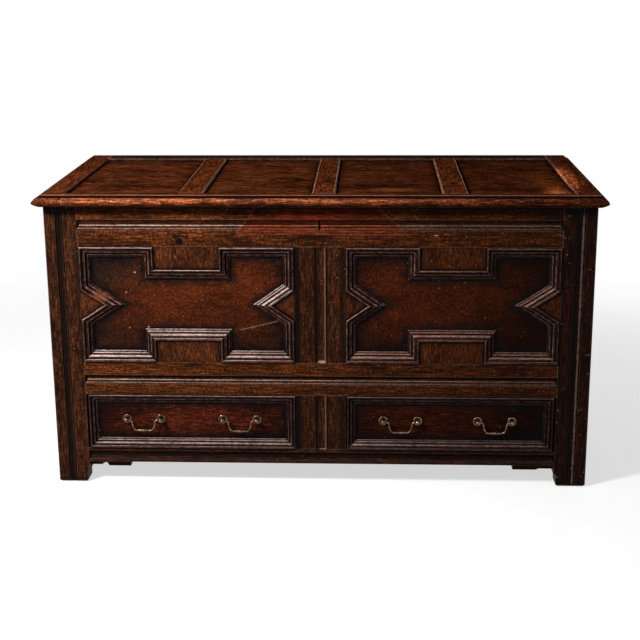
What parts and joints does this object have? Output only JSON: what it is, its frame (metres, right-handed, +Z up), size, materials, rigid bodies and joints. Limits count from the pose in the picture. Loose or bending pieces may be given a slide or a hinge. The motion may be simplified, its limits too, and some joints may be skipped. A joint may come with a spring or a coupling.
{
  "type": "mule chest",
  "caption": "Joined oak mule chest: panelled well under a hinged lid, drawers in the base, mitred geometric mouldings on the front and brass swan-neck drawer handles.",
  "frame": {"origin": "on the ground, under the middle of the lid's outline", "axes": "+X along the length, to the right as seen from the front; +Y towards the back; +Z up"},
  "size_m": [1.444, 0.66, 0.784],
  "materials": {
    "frame_oak": "old waxed oak, dark patina",
    "panel_oak": "old waxed oak, dark patina at the edges",
    "moulding_oak": "old waxed oak, worn pale on the arrises",
    "block_oak": "old waxed oak, a lighter cut",
    "patch_oak": "newer stained oak, polished",
    "lid_oak": "old waxed oak, rubbed",
    "lid_panel_oak": "old waxed oak, rubbed",
    "side_oak": "old waxed oak",
    "back_oak": "dry unfinished oak",
    "inner_oak": "dry unfinished oak",
    "drawer_oak": "old waxed oak, reddish",
    "drawer_moulding_oak": "old waxed oak, worn pale on the arrises",
    "lining_oak": "dry unfinished oak",
    "peg_oak": "old waxed oak, end grain",
    "handle_brass": "aged brass, rubbed bright where handled",
    "hinge_iron": "forged black iron",
    "lock_iron": "forged iron, worn"
  },
  "bodies": {
    "carcase": {"front_stile_left": "frame_oak", "front_stile_right": "frame_oak", "rear_stile_left": "frame_oak", "rear_stile_right": "frame_oak", "front_top_rail": "frame_oak", "top_rail_patch": "patch_oak", "front_mid_rail": "frame_oak", "front_bottom_rail": "frame_oak", "front_muntin": "frame_oak", "drawer_muntin": "frame_oak", "front_panel_left": "panel_oak", "front_panel_right": "panel_oak", "panel_moulding_left": "moulding_oak", "panel_moulding_right": "moulding_oak", "notch_blocks": "block_oak", "side_top_rails": "side_oak", "side_mid_rails": "side_oak", "side_bottom_rails": "side_oak", "side_muntins": "side_oak", "side_panels": "side_oak", "back_top_rail": "back_oak", "back_mid_rail": "back_oak", "back_bottom_rail": "back_oak", "back_muntins": "back_oak", "back_panels": "back_oak", "floor_boards": "inner_oak", "drawer_runners": "inner_oak", "drawer_stops": "inner_oak", "corner_blocks": "inner_oak", "joint_pegs": "peg_oak", "lock_case": "lock_iron", "hinge_leaves": "hinge_iron", "hinge_pins": "hinge_iron"},
    "lid": {"lid_front_rail": "lid_oak", "lid_rear_rail": "lid_oak", "lid_end_left": "lid_oak", "lid_end_right": "lid_oak", "lid_muntins": "lid_oak", "lid_panels": "lid_panel_oak", "hinge_straps": "hinge_iron", "lock_staple": "lock_iron"},
    "drawer_left": {"drawer_front_left": "drawer_oak", "drawer_moulding_left": "drawer_moulding_oak", "drawer_sides_left": "lining_oak", "drawer_back_left": "lining_oak", "drawer_bottom_left": "lining_oak", "handle_roses_left": "handle_brass", "handle_posts_left": "handle_brass"},
    "drawer_right": {"drawer_front_right": "drawer_oak", "drawer_moulding_right": "drawer_moulding_oak", "drawer_sides_right": "lining_oak", "drawer_back_right": "lining_oak", "drawer_bottom_right": "lining_oak", "handle_roses_right": "handle_brass", "handle_posts_right": "handle_brass"},
    "bail_left_outer": {"bail_left_outer": "handle_brass"},
    "bail_left_inner": {"bail_left_inner": "handle_brass"},
    "bail_right_inner": {"bail_right_inner": "handle_brass"},
    "bail_right_outer": {"bail_right_outer": "handle_brass"},
    "lock_bolt": {"lock_bolt": "lock_iron"}
  },
  "joints": [
    {"name": "lid_hinge", "type": "hinge", "parent": "carcase", "child": "lid", "pos_m": [0, 0.3215, 0.7505], "axis": [-1, 0, 0], "range_deg": [0, 100]},
    {"name": "drawer_left_slide", "type": "slide", "parent": "carcase", "child": "drawer_left", "axis": [0, -1, 0], "range_m": [0, 0.42]},
    {"name": "drawer_right_slide", "type": "slide", "parent": "carcase", "child": "drawer_right", "axis": [0, -1, 0], "range_m": [0, 0.42]},
    {"name": "bail_left_outer_swing", "type": "hinge", "parent": "drawer_left", "child": "bail_left_outer", "pos_m": [-0.466, -0.304, 0.179], "axis": [-1, 0, 0], "range_deg": [0, 165]},
    {"name": "bail_left_inner_swing", "type": "hinge", "parent": "drawer_left", "child": "bail_left_inner", "pos_m": [-0.211, -0.304, 0.179], "axis": [-1, 0, 0], "range_deg": [0, 165]},
    {"name": "bail_right_inner_swing", "type": "hinge", "parent": "drawer_right", "child": "bail_right_inner", "pos_m": [0.212, -0.304, 0.179], "axis": [-1, 0, 0], "range_deg": [0, 165]},
    {"name": "bail_right_outer_swing", "type": "hinge", "parent": "drawer_right", "child": "bail_right_outer", "pos_m": [0.459, -0.304, 0.179], "axis": [-1, 0, 0], "range_deg": [0, 165]},
    {"name": "lock_bolt_slide", "type": "slide", "parent": "carcase", "child": "lock_bolt", "axis": [1, 0, 0], "range_m": [0, 0.012]}
  ]
}
